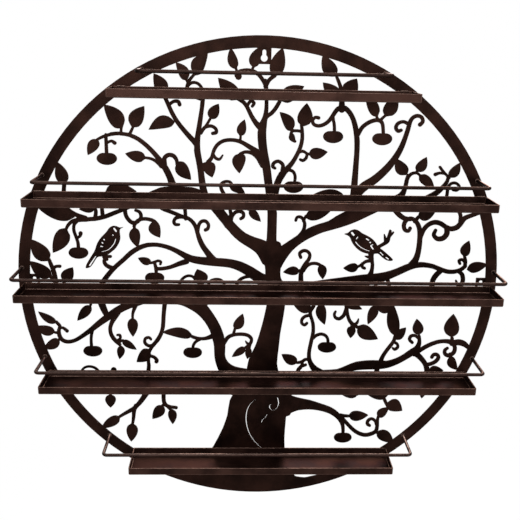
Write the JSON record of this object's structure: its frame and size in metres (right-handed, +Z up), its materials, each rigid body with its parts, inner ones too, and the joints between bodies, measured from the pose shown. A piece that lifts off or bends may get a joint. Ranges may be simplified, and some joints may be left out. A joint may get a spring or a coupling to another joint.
{
  "type": "wall rack for small bottles",
  "caption": "Round wall rack cut from sheet steel as a tree with birds and fruit, with folded trays and wire guard rails for small bottles.",
  "frame": {"origin": "centre of the round part of the top keyhole, on the wall", "axes": "+X to the right seen from the front, +Y into the wall, +Z up"},
  "size_m": [0.5799, 0.0545, 0.5799],
  "materials": {
    "coated_steel": "dark bronze-brown powder coat, satin",
    "weld": "the same coat over a weld bead, slightly lighter"
  },
  "bodies": {
    "root": {"tree_panel": "coated_steel", "shelf_tray_1": "coated_steel", "shelf_tray_2": "coated_steel", "shelf_tray_3": "coated_steel", "shelf_tray_4": "coated_steel", "shelf_tray_5": "coated_steel", "guard_rail_1": "coated_steel", "guard_rail_2": "coated_steel", "guard_rail_3": "coated_steel", "guard_rail_4": "coated_steel", "guard_rail_5": "coated_steel", "keyhole_tab_top": "coated_steel", "keyhole_tab_left": "coated_steel", "keyhole_tab_right": "coated_steel", "rail_weld_beads": "weld", "tray_weld_beads": "weld", "tab_weld_beads": "weld"}
  },
  "joints": []
}
